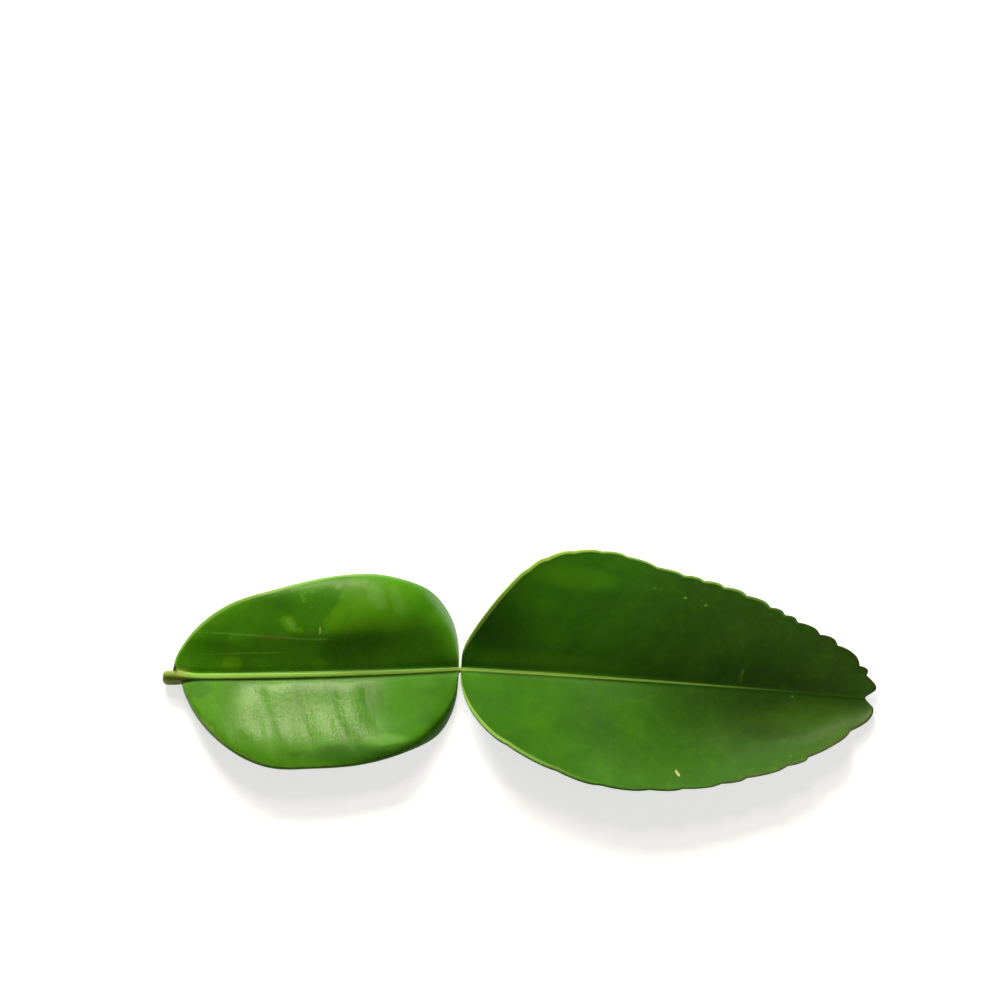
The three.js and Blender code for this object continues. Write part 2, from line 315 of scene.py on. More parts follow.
def rib_size(x, shape):
    """Half-width, rise above the lamina and depth below it of the midrib at each x."""
    stub = 1 - smooth(x, CUT_UNTIL, CUT_BLENDED_BY)
    thinning = np.minimum(x / TIP, 1)
    taper = RIB_WIDTH_AT_TIP + RIB_WIDTH_LOST * (1 - thinning) ** RIB_WIDTH_TAPER
    half_widths = mix(shape.midrib_width / MM / 2 * taper, CUT_HALF_WIDTH, stub)
    rises = mix(RIB_RISE * (1 - thinning) ** RIB_RISE_TAPER, CUT_RISE, stub)
    depths = mix(mix(RIB_DEPTH_AT_BASE, RIB_DEPTH_AT_TIP, thinning), CUT_DEPTH, stub)
    return half_widths, rises, depths


def cut_end_scale(x):
    """Scale of the cut end's section, which is rounded over at the cut."""
    reach = np.clip(1 - x / CUT_ROUNDING, 0, 1)
    return CUT_FACE_SCALE + (1 - CUT_FACE_SCALE) * np.sqrt(1 - reach**2)


# ---- heights ----


def rest_on_table(height):
    """Keeps a height above the table, and bends it smoothly as it nears it."""
    return (height + np.hypot(height, TABLE_SOFTNESS)) / 2


def fold_rise(x, distance):
    """Rise of the fold along the far half of the wing."""
    strength = smooth(x, FOLD_FROM, FOLD_FULL) * (1 - smooth(x, FOLD_FADES, FOLD_TO))
    wander = sum(height * np.sin(x / length) for height, length in FOLD_WANDER)
    past = distance - FOLD_DISTANCE - wander
    within = (past - np.hypot(past, FOLD_SOFTNESS)) / 2 + FOLD_DISTANCE
    return FOLD_RISE * strength * within**2 / (2 * FOLD_DISTANCE)


def lamina_height(half, stations, v, reach):
    """Height of the lamina's middle at a share v of the way from the midrib to the edge."""
    rib = stations.rib
    slope = even_spline(half.slopes, stations.u)[:, None]
    spread = 1 - np.exp(-reach / RIB_INFLUENCE)
    edge_height = mix(rib[:, 2:3], even_spline(half.edge, stations.u)[:, None], spread)
    turned = v ** even_spline(half.rolls, stations.u)[:, None]
    height = rib[:, 2:3] + (edge_height - rib[:, 2:3]) * turned + slope * reach * (v - turned)
    if half.folds:
        fold = fold_rise(rib[:, 0:1], v * reach) - fold_rise(rib[:, 0:1], reach) * turned
        height = height + fold * spread
    return height


def vein_phase(half, x, distance, shape):
    """A whole number on each side vein, which leaves the midrib at a slant and bends toward the tip."""
    slant = np.where(x > WAIST, BLADE_SLANT, WING_SLANT)
    slanted = x - slant * distance - VEIN_BEND * distance**2
    uneven = slanted + VEIN_UNEVEN * slow_waves(x, half.side * distance, *VEIN_WAVES)
    return uneven / (shape.vein_pitch / MM) + VEIN_START[half.side]


def quilting(half, x, distance, reach, phase, shape):
    """Lamina puffed up between the side veins, calm beside the midrib and at the edge."""
    puff = np.sqrt(np.sin(math.pi * phase) ** 2 + PUFF_ROUNDING)
    edge_margin = np.where(x > WAIST, BLADE_EDGE_MARGIN, WING_EDGE_MARGIN)
    calm = smooth(distance, *RIB_MARGIN) * smooth(reach - distance, EDGE_MARGIN_FROM, edge_margin)
    strength = 1 + PUFF_UNEVEN * slow_waves(x, half.side * distance, *PUFF_WAVES)
    strength = strength * (FLAT_PUFF if half.notches or half.folds else WING_NEAR_PUFF)
    return shape.vein_relief / MM * puff * calm * strength


def unevenness(half, x, distance, reach):
    """Slow waves of the whole lamina and the wing's swellings, none at the midrib."""
    y = half.side * distance
    broad = BROAD_HEIGHT * slow_waves(x, y, *BROAD_WAVES) * smooth(distance, *BROAD_MARGIN)
    close = CLOSE_HEIGHT * slow_waves(x, y, *CLOSE_WAVES) * smooth(distance, *CLOSE_MARGIN)
    raised = sum(
        height * bell(x - at, length) * bell(y - across, width)
        for at, across, height, length, width in PUCKERS
    )
    return (broad + close) * np.clip(reach / STEADY_WIDTH, 0, 1) + raised * smooth(distance, *RIB_MARGIN)


def rim_swelling(x, inset):
    """The raised rim, strong at the blade's base and gone before its tip."""
    fade = 1 - smooth(x, RIM_FADES, RIM_GONE)
    strength = np.where(x > WAIST, BLADE_RIM * mix(BLADE_RIM_KEPT, 1, fade), WING_RIM)
    return strength * bell(inset - RIM_INSET, RIM_INSET)


# ---- the skin ----


@dataclass
class Stations:
    """Sections along the leaf: share of their stretch, point on the midrib, and the midrib's size."""

    u: np.ndarray
    rib: np.ndarray
    half_widths: np.ndarray
    rises: np.ndarray
    depths: np.ndarray
    scale: np.ndarray
    has_lamina: bool


def stub_stations(shape):
    """Sections of the cut end, which has no lamina."""
    x = WING_BASE * np.linspace(0, 1, STUB_STEPS, endpoint=False) ** STUB_BUNCHING
    rib = arc_point(WING_MIDRIB, x / WING_END)
    return Stations(np.zeros_like(x), rib, *rib_size(x, shape), cut_end_scale(x), False)


def blade_shares():
    """Shares of the blade's length, closer together where it has teeth."""
    base = np.linspace(0, TEETH_FROM, BLADE_BASE_STEPS, endpoint=False)
    return np.concatenate([base, np.linspace(TEETH_FROM, 1, BLADE_TIP_STEPS + 1)])


def lamina_stations(arc, first, last, u, shape):
    """Sections of the wing or of the blade."""
    share = (mix(first, last, u) - arc[0][0]) / (arc[2][0] - arc[0][0])
    rib = arc_point(arc, share)
    return Stations(u, rib, *rib_size(rib[:, 0], shape), np.ones_like(u), True)


def line_shares(rib_half_width, reach):
    """Shares of the way from the midrib to the edge where the lines lie, one row for each section."""
    lamina = reach - rib_half_width
    total = RIB_LINES + LAMINA_LINES + EDGE_LINES
    in_rib = mix(RIB_LINES / total, 1.0, smooth(lamina, 0, NARROW_LAMINA))
    rib_part = np.linspace(0, 1, RIB_LINES + 1)[None, :] * in_rib * rib_half_width
    edge_zone = np.minimum(EDGE_ZONE, lamina * 0.5)
    inner = np.linspace(0, 1, LAMINA_LINES + 1)[None, 1:] * (lamina - edge_zone)
    turn = np.sin(np.linspace(0, math.pi / 2, EDGE_LINES + 1))[None, 1:]
    offsets = np.concatenate([inner, lamina - edge_zone + edge_zone * turn], 1)
    over_lamina = np.linspace(0, 1, LAMINA_LINES + EDGE_LINES + 1)[None, 1:]
    lamina_part = rib_half_width * mix(in_rib, 1.0, over_lamina) + offsets
    return np.concatenate([rib_part, lamina_part], 1) / reach


def both_surfaces(stations, shape, middle, relief, x, distance, inset):
    """Heights of the upper and of the lower skin around the lamina's middle."""
    rib_half_width = (stations.half_widths * stations.scale)[:, None]
    across_rib = np.minimum(1, distance / rib_half_width)
    ridge = np.sqrt(np.clip(1 - across_rib**2, 0, 1)) * stations.scale[:, None]
    groove = GROOVE_DEPTH * bell(distance - rib_half_width - GROOVE_OFFSET, GROOVE_HALF_WIDTH)
    groove = groove * (1 - GROOVE_LOST_AT_TIP * smooth(x, WAIST, TIP)) * stations.has_lamina
    body = shape.thickness / MM / 2
    rounding = np.sqrt(1 - (1 - np.clip(inset / EDGE_ROUNDING, 0, 1)) ** 2)
    swollen = (body + rim_swelling(x, inset)) * rounding
    centre = rest_on_table(middle - body) + body
    upper = centre + swollen + relief - groove + ridge * stations.rises[:, None]
    bottom = centre - swollen + relief * RELIEF_BELOW - ridge * stations.depths[:, None]
    return upper, np.minimum(rest_on_table(bottom - LOWER_SKIN_DROP), upper)


def half_skin(half, stations, shape):
    """Upper and lower points of one half, with what the materials need to know about each place."""
    rib_half_width = (stations.half_widths * stations.scale)[:, None]
    if stations.has_lamina:
        edge = real_edge(half, stations.u, stations.half_widths, shape)
    else:
        edge = np.stack([stations.rib[:, 0], rib_half_width[:, 0] + STUB_MARGIN], -1)
    reach = edge[:, 1:2]
    v = line_shares(rib_half_width, reach)
    distance = v * reach
    inset = (1 - v) * reach
    x = mix(stations.rib[:, 0:1], edge[:, 0:1], v)
    y = stations.rib[:, 1:2] + half.side * distance
    phase = vein_phase(half, x, distance, shape)
    middle, relief = stations.rib[:, 2:3], 0.0
    if stations.has_lamina:
        smooth_reach = smooth_edge(half, stations.u, stations.half_widths)[:, 1:2]
        middle = lamina_height(half, stations, distance / smooth_reach, smooth_reach)
        middle = middle + unevenness(half, x, distance, smooth_reach)
        relief = quilting(half, x, distance, smooth_reach, phase, shape)
    upper, lower = both_surfaces(stations, shape, middle, relief, x, distance, inset)
    return {
        "upper": np.stack([x, y, upper], -1),
        "lower": np.stack([x, y, lower], -1),
        "along": x,
        "across": half.side * distance,
        "inset": inset,
        "phase": phase,
    }


def closed_ring(far, near, above, below):
    """Over the top from the far edge to the near edge, and back underneath, without repeating a point."""
    return np.concatenate(
        [far[above][:, ::-1], near[above][:, 1:], near[below][:, -2::-1], far[below][:, 1:-1]], 1
    )


def leaf_skin(shape):
    """Every section as one closed ring of points, with the marks that the materials read."""
    wing_shares = np.linspace(0, 1, WING_STEPS)
    stretches = (
        (WING_FAR, WING_NEAR, stub_stations(shape)),
        (WING_FAR, WING_NEAR, lamina_stations(WING_MIDRIB, WING_BASE, WING_END, wing_shares, shape)),
        (BLADE_FAR, BLADE_NEAR, lamina_stations(BLADE_MIDRIB, BLADE_BASE, TIP, blade_shares(), shape)),
    )
    points, marks = [], {name: [] for name in MARK_NAMES}
    for far_half, near_half, stations in stretches:
        far = half_skin(far_half, stations, shape)
        near = half_skin(near_half, stations, shape)
        points.append(closed_ring(far, near, "upper", "lower"))
        for name, rows in marks.items():
            rows.append(closed_ring(far, near, name, name))
    return np.concatenate(points), {name: np.concatenate(rows) for name, rows in marks.items()}


# ---- the mesh ----

UPPER, LOWER, CUT = 0, 1, 2  # the three finishes


def skin_faces(rings, ring):
    """Four-sided faces between the rings, and the finish of each."""
    section, place = np.meshgrid(np.arange(rings - 1), np.arange(ring), indexing="ij")
    a = section * ring + place
    b = section * ring + (place + 1) % ring
    faces = np.stack([a, b, b + ring, a + ring], -1).reshape(-1, 4)
    above = place < 2 * (RIB_LINES + LAMINA_LINES + EDGE_LINES)
    return faces.tolist(), np.where(above, UPPER, LOWER).ravel().tolist()


def cut_face(rim):
    """Rings across the cut that shrink to its middle and sink a little."""
    rows = []
    for share in CUT_FACE_RINGS:
        ring = mix(rim.mean(0), rim, share)
        uneven = CUT_FACE_UNEVEN * slow_waves(ring[:, 1], ring[:, 2], *CUT_WAVES)
        ring[:, 0] += CUT_FACE_SINKS * (1 - share) ** 0.5 + uneven
        rows.append(ring)
    return rows


def build_leaf_mesh(shape):
    """One closed mesh in metres, standing where the frame has the leaf."""
    rings, marks = leaf_skin(shape)
    count, ring = rings.shape[:2]
    faces, finishes = skin_faces(count, ring)
    cut_rows = cut_face(rings[0])
    first = list(range(ring))
    for number in range(len(cut_rows)):
        start = (count + number) * ring
        now = list(range(start, start + ring))
        faces += [(first[(i + 1) % ring], first[i], now[i], now[(i + 1) % ring]) for i in range(ring)]
        first = now
    faces.append(tuple(reversed(first)))
    finishes += [CUT] * (len(cut_rows) * ring + 1)
    faces.append(tuple(range((count - 1) * ring, count * ring)))
    finishes.append(UPPER)
    points = np.concatenate([rings.reshape(-1, 3), *cut_rows])
    values = {}
    for name, rows in marks.items():
        values[name] = np.concatenate([rows.ravel(), np.tile(rows[0], len(cut_rows))])
    return place_points(points, shape), faces, finishes, values


def place_points(points, shape):
    """From drawn millimetres to metres, at the leaf's length, centred on its place in the frame."""
    low, high = points.min(0), points.max(0)
    scale = shape.length / (high[0] - low[0])
    centre = (LEAF_BOX[0] + LEAF_BOX[1]) / 2
    middle = (low + high) / 2
    moved = (points - middle) * scale
    moved[:, 2] = (points[:, 2] - low[2]) * scale + LEAF_BOX[0].z
    moved[:, 0] += centre.x
    moved[:, 1] += centre.y
    return moved


# ---- shader expressions ----

BLACK = (0.0, 0.0, 0.0, 1.0)
WHITE = (1.0, 1.0, 1.0, 1.0)


def rgba(colour):
    """A colour of three numbers with full alpha."""
    return (*colour, 1.0)


class Value:
    """A number that varies over a surface; arithmetic on it adds Math nodes."""

    def __init__(self, recipe, socket):
        self.recipe = recipe
        self.socket = socket

    def math(self, operation, *others):
        """One Math node on this number and the others."""
        return self.recipe.math(operation, self, *others)

    def __add__(self, other):
        return self.math("ADD", other)

    __radd__ = __add__

    def __sub__(self, other):
        return self.math("SUBTRACT", other)

    def __rsub__(self, other):
        return self.recipe.math("SUBTRACT", other, self)

    def __mul__(self, other):
        return self.math("MULTIPLY", other)

    __rmul__ = __mul__

    def __truediv__(self, other):
        return self.math("DIVIDE", other)

    def __rtruediv__(self, other):
        return self.recipe.math("DIVIDE", other, self)

    def __pow__(self, other):
        return self.math("POWER", other)

    def __rpow__(self, other):
        return self.recipe.math("POWER", other, self)

    def __abs__(self):
        return self.math("ABSOLUTE")

    def step(self, low, high):
        """0 at low and 1 at high, with a smooth step between; low may be the larger."""
        start, end = (0.0, 1.0) if low < high else (1.0, 0.0)
        inputs = {"Value": self, "From Min": min(low, high), "From Max": max(low, high)}
        inputs.update({"To Min": start, "To Max": end})
        return self.recipe.value("ShaderNodeMapRange", {"interpolation_type": "SMOOTHSTEP"}, inputs)


class Recipe:
    """The nodes of one material, or of the world."""

    def __init__(self, owner):
        owner.use_nodes = True
        self.owner = owner
        self.tree = owner.node_tree
        self.tree.nodes.clear()

    def node(self, kind, settings=None, inputs=None):
        """Any node: its settings first, then the values or links of its sockets."""
        node = self.tree.nodes.new(kind)
        for name, setting in (settings or {}).items():
            setattr(node, name, setting)
        for name, given in (inputs or {}).items():
            source = getattr(given, "socket", given)
            if isinstance(source, bpy.types.NodeSocket):
                self.tree.links.new(source, node.inputs[name])
            else:
                node.inputs[name].default_value = source
        return node

    def value(self, kind, settings=None, inputs=None, output=0):
        """The number that a node gives."""
        return Value(self, self.node(kind, settings, inputs).outputs[output])

    def math(self, operation, *numbers):
        """One Math node."""
        return self.value("ShaderNodeMath", {"operation": operation}, dict(enumerate(numbers)))

    def ray(self, kind):
        """1 where this kind of ray looks at the surface."""
        return self.value("ShaderNodeLightPath", output=kind)

    def point(self, x, y):
        """A point made of two numbers."""
        return self.node("ShaderNodeCombineXYZ", inputs={"X": x, "Y": y}).outputs[0]

    def position(self):
        """Where the surface is, in metres."""
        return self.node("ShaderNodeNewGeometry").outputs["Position"]

    def noise(self, place, scale, detail=2.0, roughness=0.5):
        """Cloudy values between 0 and 1."""
        inputs = {"Vector": place, "Scale": scale, "Detail": detail, "Roughness": roughness}
        return self.value("ShaderNodeTexNoise", {"noise_dimensions": "3D"}, inputs, output="Fac")

    def cells(self, place, scale, feature="F1"):
        """Distance to the nearest cell centre, or to the cells' edges."""
        inputs = {"Vector": place, "Scale": scale, "Randomness": 1.0}
        return self.value("ShaderNodeTexVoronoi", {"feature": feature}, inputs, output="Distance")

    def blend(self, share, a, b):
        """Colour a turning into colour b."""
        settings = {"data_type": "RGBA", "clamp_factor": True}
        return self.node("ShaderNodeMix", settings, {0: share, 6: a, 7: b}).outputs[2]

    def bump(self, height, strength, distance):
        """Small relief that the mesh leaves out."""
        inputs = {"Height": height, "Strength": strength, "Distance": distance}
        return self.node("ShaderNodeBump", inputs=inputs).outputs[0]

    def finish(self, **sockets):
        """The one surface shader and the material's output; gives the finished material."""
        names = {name: name.replace("_", " ").title().replace("Ior", "IOR") for name in sockets}
        inputs = {names[name]: given for name, given in sockets.items()}
        shader = self.node("ShaderNodeBsdfPrincipled", inputs=inputs)
        self.node("ShaderNodeOutputMaterial", inputs={"Surface": shader.outputs[0]})
        return self.owner


# ---- finishes ----

# Noises of the upper side, the lower side and the cut: scale, detail and roughness. The scales of both
# sides are for each millimetre, and the cut's are for each metre.
CLOUDS, MOTTLE, GRAIN, DIMPLES = (0.11, 3.0), (0.55, 4.0, 0.6), (3.0, 2.0), (0.9, 2.0)
BANDS, STREAKS, RAGGED = (0.4, 4.0, 0.6), (1.1, 4.0), (1.4, 4.0, 0.7)
CLOUDS_BELOW, MOTTLE_BELOW = (0.15, 3.0), (0.8, 4.0, 0.6)
FIBRES, CUT_CLOUDS = (4000.0, 4.0, 0.7), (1200.0, 2.0)
GLANDS_PER_MM, VEINLETS_PER_MM, SPECKS_PER_MM, DOTS_PER_MM = 1.15, 0.75, 0.16, 1.3
BAND_SLANT = 0.25  # the bands of sheen and the streaks run across the wing at a slant

# Zones of the upper side in millimetres. Each bound gives where the zone starts and where it is full.
STALK_ALONG, STALK_ACROSS = (5.5, 2.6), (2.2, 1.2)
FAR_SIDE, FAR_COLOUR, NEAR_GLOSS = (-0.5, 0.5), (-1.0, 1.0), (1, -2)
GLOSSY = ((10, 17), (44, 36)), ((0, -2), (-17.5, -13))  # along and across
# the wing's near half, which is painted lighter
PAINTED_LIGHT_ZONE = ((40, 26),), ((0, -4),)
# the wing beyond the crease, which is painted lighter
BEYOND_CREASE = ((47, 38),), ((6.4, 8.4), (21, 15))
WING_RIM_SHOWS = ((50, 26),), ((-30, 2),)
FAR_RIM_SHOWS, NEAR_RIM_SHOWS = (118, 98), (80, 60)
FAR_RIM_NARROWS, FAR_RIM_HIGHLIGHT = (64, 84), (86, 70)
FAR_TEETH_BROWN, NEAR_TEETH_BROWN = (112, 120), (97, 106)
TIP_SHADE_ZONE, MIDRIB_SHOWS, DULL_BASE = (66, 126), (116, 96), (84, 68)

STROKE_RAGGED = 3.5
STROKE_EDGE = 0.8
STROKE_FADE = 0.6
BROAD_STROKE = 0.9  # half-width over which a stroke's outline is calmer

# The crease across the wing, where the painted light beyond it starts: place at the midrib, lean, raggedness,
# and how it starts.
CREASE_FROM, CREASE_SLANT, CREASE_RAGGED, CREASE_BLEND = 25.3, 0.39, 3.0, (-0.2, 1.2)
# A patch of pale dots, and the blade's two patches of painted shade: from, to and half width.
PALE_DOTS = ((24.0, 12.6), (27.0, 15.4), 1.9)
PAINTED_SHADES = (((84, 9), (114, 7), 14), ((100, -6), (114, -5), 6))
RIM_WIDTH, NARROWER_ON_WING, NARROWER_BEYOND = 0.85, 0.3, 0.25
BROWN_EDGE_WIDTH = 0.4
RIB_COLOUR_TAPER, RIB_COLOUR_WIDTH, RIB_COLOUR_AT_TIP = 1.6, 0.56, 0.12
RIB_SHADE_OFFSET, RIB_SHADE_HALF_WIDTH = 0.3, 0.35
RIB_BELOW_WIDTH, RIB_BELOW_TAPER = 0.85, 0.0045
UPPER_BUMP, LOWER_BUMP, CUT_BUMP = (0.35, 0.06 * MM), (0.6, 0.08 * MM), (0.6, 0.1 * MM)  # strength, height

# Marks of the upper side, some of them painted shade and light: where each starts and ends along and across
# the leaf, half width, strength, colour.
MARKS = (
    # the wing's far half: lighter spots, some of them painted highlights and sheen, painted shade under the
    # fold, its pale line, painted as a highlight on the fold's ridge, and the scars on it
    # a painted highlight where the wing swells toward the light
    ((28.9, 8.0), (32.4, 12.4), 1.7, 0.6, "fresh"),
    # painted sheen in two pale streaks
    ((36.5, 17.0), (39.5, 11.5), 1.6, 0.5, "specks_and_sheen"),
    ((40.8, 17.0), (43.0, 10.0), 1.2, 0.3, "specks_and_sheen"),
    # painted shade under the fold
    ((14.0, 3.6), (35.0, 3.4), 2.8, 0.3, "deep"),
    ((10.4, 2.6), (14.2, 2.3), 1.5, 0.7, "fresh"),
    ((26.6, 2.2), (29.8, 1.9), 0.9, 0.4, "fresh"),
    ((21.0, 11.2), (23.4, 8.0), 1.2, 0.85, "fresh"),
    ((21.4, 10.9), (23.8, 7.9), 0.55, 0.7, "specks_and_sheen"),
    ((23.9, 8.9), (24.8, 7.7), 0.6, 0.7, "fresh"),
    ((30.2, 16.2), (31.6, 17.0), 0.7, 0.5, "specks_and_sheen"),
    # the fold's pale line, a painted highlight on its ridge
    ((4.0, 8.5), (32.0, 6.0), 0.17, 0.6, "specks_and_sheen"),
    ((26.0, 6.6), (30.6, 6.15), 0.22, 0.6, "specks_and_sheen"),
    ((6.0, 4.2), (23.0, 4.3), 0.15, 0.4, "specks_and_sheen"),
    ((16.0, 7.45), (23.2, 6.6), 0.24, 0.7, "scar_brown"),
    ((28.0, 8.7), (28.1, 7.0), 0.18, 0.7, "scar_pale"),
    # the wing's near half: painted shade beside the cut end, a painted highlight along its margin, painted
    # shade and light along its lower edge
    ((3.8, -2.4), (9.5, -3.2), 2.2, 0.45, "deep"),
    # a painted highlight along the pale margin
    ((4.4, -6.4), (13.6, -16.4), 1.0, 0.6, "rim"),
    # painted shade where the lower edge rolls under
    ((25.0, -17.3), (43.0, -16.8), 1.7, 0.55, "deep"),
    # painted light where the lower edge curls up
    ((37.0, -14.6), (45.5, -14.2), 1.3, 0.5, "specks_and_sheen"),
    ((38.0, -17.4), (48.5, -14.6), 0.8, 0.4, "deep"),
    # the waist
    ((53.0, 1.0), (54.6, -1.0), 0.4, 0.6, "scar_brown"),
    # the blade: lighter and deeper clouds, then a scar and a few specks
    ((55.5, 2.0), (84.0, 1.6), 2.2, 0.22, "fresh"),
    ((66.0, 18.6), (82.0, 18.0), 2.6, 0.3, "fresh"),
    ((97.0, -15.0), (113.0, -12.0), 4.0, 0.4, "deep"),
    ((110.0, -5.5), (125.0, -3.0), 3.5, 0.12, "fresh"),
    ((92.7, -18.5), (93.4, -20.2), 0.3, 1.0, "scar_pale"),
    ((105.3, 3.6), (104.6, 1.0), 0.25, 0.5, "vein"),
    ((94.3, 15.7), (94.9, 15.7), 0.25, 0.9, "specks_and_sheen"),
    ((98.0, 14.4), (98.7, 14.4), 0.25, 0.9, "specks_and_sheen"),
    ((113.7, -0.9), (114.3, -0.9), 0.25, 0.9, "specks_and_sheen"),
)


class Skin(Recipe):
    """A finish of the leaf, which knows the place along and across it at every point."""

    def __init__(self, name):
        super().__init__(bpy.data.materials.new(name))
        self.along, self.across, self.inset, self.phase = (self.mark(mark) for mark in MARK_NAMES)
        self.distance = abs(self.across)
        self.place = self.point(self.along, self.across)
        self.on_blade = self.along.step(WAIST - 0.1, WAIST + 0.1)

    def mark(self, name):
        """A number stored on the mesh."""
        return self.value("ShaderNodeAttribute", {"attribute_name": name}, output="Fac")

    def zone(self, along, across):
        """1 inside a zone with bounds along and across the leaf, and 0 outside it."""
        steps = [self.along.step(*bound) for bound in along] + [self.across.step(*bound) for bound in across]
        return math.prod(steps[1:], start=steps[0])

    def glands(self):
        """Distance from the middle of the nearest oil gland."""
        return self.cells(self.place, GLANDS_PER_MM)

    def veinlets(self):
        """Distance from the net of the smallest veins."""
        return self.cells(self.place, VEINLETS_PER_MM, "DISTANCE_TO_EDGE")

    def stalk(self, green, colours):
        """The stalk's colour on the cut end, over the rest."""
        on_stalk = self.along.step(*STALK_ALONG) * self.distance.step(*STALK_ACROSS)
        return self.blend(on_stalk, green, rgba(colours.stalk))


def stroke(r, start, end, half_width, noise):
    """A ragged mark from one place to another: 1 on it and 0 off it. Broad ones fade out slowly."""
    middle = [(a + b) / 2 for a, b in zip(start, end)]
    half_length = math.dist(start, end) / 2
    way = [(b - a) / 2 / half_length for a, b in zip(start, end)]
    beyond, beside = r.along - middle[0], r.across - middle[1]
    forward = beyond * way[0] + beside * way[1]
    sideways = beside * way[0] - beyond * way[1]
    reach = (forward / half_length) ** 2 + (sideways / half_width) ** 2
    fade = min(half_width, 1.0) * STROKE_FADE
    return (reach + (noise - 0.5) * STROKE_RAGGED).step(STROKE_EDGE + fade, STROKE_EDGE - fade)


def marks_of_growth(r, green, colours, mottle):
    """The painted light beyond the crease across the wing, all the marks, some of them painted shade and
    light, and a patch of pale dots.
    """
    ragged = r.noise(r.place, *RAGGED)
    crease = r.along - r.across * CREASE_SLANT - CREASE_FROM + (mottle - 0.5) * CREASE_RAGGED
    # Painted light: the wing beyond the crease is lighter where it faces the light.
    patch = crease.step(*CREASE_BLEND) * r.zone(*BEYOND_CREASE)
    green = r.blend(patch * 0.55, green, rgba(colours.fresh))
    calm = mottle * 0.6 + 0.2
    for start, end, half_width, strength, colour_name in MARKS:
        noise = calm if half_width > BROAD_STROKE else ragged
        mark = stroke(r, start, end, half_width, noise)
        green = r.blend(mark * strength, green, rgba(getattr(colours, colour_name)))
    dots = r.cells(r.place, DOTS_PER_MM).step(0.5, 0.25)
    dotted = stroke(r, *PALE_DOTS, ragged) * dots
    return r.blend(dotted * 0.6, green, rgba(colours.specks_and_sheen))


def edge_colours(r, green, colours, noise):
    """The pale rim, strongest at the base of the blade, with a painted highlight over it on the blade's far
    half, and the brown edge of the teeth at the tip.
    """
    far_side = r.across.step(*FAR_SIDE)
    near_side = 1.0 - far_side
    on_wing = 1.0 - r.on_blade
    narrower = near_side * on_wing * NARROWER_ON_WING
    narrower = narrower + far_side * r.along.step(*FAR_RIM_NARROWS) * NARROWER_BEYOND
    wing_rim = r.zone(*WING_RIM_SHOWS) * 0.75
    blade_rim = far_side * r.along.step(*FAR_RIM_SHOWS) + near_side * r.along.step(*NEAR_RIM_SHOWS)
    rim = (r.inset / (RIM_WIDTH - narrower)).step(1.15, 0.75) * (r.on_blade * blade_rim + on_wing * wing_rim)
    green = r.blend(rim, green, rgba(colours.rim))
    # Painted highlight: the far rim at the blade's base is brightened where it faces the light.
    far_rim_lit = r.on_blade * far_side * r.along.step(*FAR_RIM_HIGHLIGHT)
    green = r.blend(rim * far_rim_lit * 0.75, green, rgba(colours.far_rim_highlight))
    browned = near_side * r.along.step(*NEAR_TEETH_BROWN) + far_side * r.along.step(*FAR_TEETH_BROWN) * 0.6
    edge = (r.inset / BROWN_EDGE_WIDTH + noise - 0.5).step(1.3, 0.6) * browned
    return r.blend(edge * 0.75, green, rgba(colours.edge_brown))


def cloudy_green(r, colours, clouds, mottle):
    """The greens of the wing and of the blade's two halves, clouded, with painted shade on the blade's far
    half, its darkest parts and its tip, and painted light on the wing's near half.
    """
    # Painted shade: the blade's far half takes a slightly darker green.
    blade = r.blend(r.across.step(*FAR_COLOUR), rgba(colours.blade), rgba(colours.blade_far_shaded))
    # Painted shade and a painted grey sheen: the blade turns darker and greyer toward its tip.
    blade = r.blend(r.along.step(*TIP_SHADE_ZONE), blade, rgba(colours.tip))
    green = r.blend(r.on_blade, rgba(colours.wing), blade)
    green = r.blend((clouds - 0.45) * 2.0, green, rgba(colours.deep))
    green = r.blend((0.46 - clouds) * 0.9, green, rgba(colours.fresh))
    green = r.blend((mottle - 0.5) * 0.7, green, rgba(colours.fresh))
    # Painted shade over the darkest parts of the blade.
    painted_shade = sum(stroke(r, *shade, clouds) for shade in PAINTED_SHADES)
    green = r.blend(painted_shade * 0.2, green, rgba(colours.painted_shade_green))
    # Painted light: the wing's near half is lighter where it faces the light.
    near_half_painted_light = (1.0 - r.on_blade) * r.zone(*PAINTED_LIGHT_ZONE)
    return r.blend(near_half_painted_light * 0.3, green, rgba(colours.fresh))


def faint_veins(r, green, colours, clouds, glands):
    """Side veins, oil glands and a few pale specks."""
    wandering = r.phase + (clouds - 0.5) * 0.5
    vein = abs(wandering - wandering.math("ROUND")).step(0.05, 0.015) * r.distance.step(0.4, 2.0)
    green = r.blend(vein * (0.1 - r.on_blade * 0.06), green, rgba(colours.vein))
    green = r.blend(glands.step(0.16, 0.05) * 0.1, green, rgba(colours.vein))
    specks = r.cells(r.place, SPECKS_PER_MM).step(0.055, 0.03)
    return r.blend(specks * 0.5, green, rgba(colours.vein))


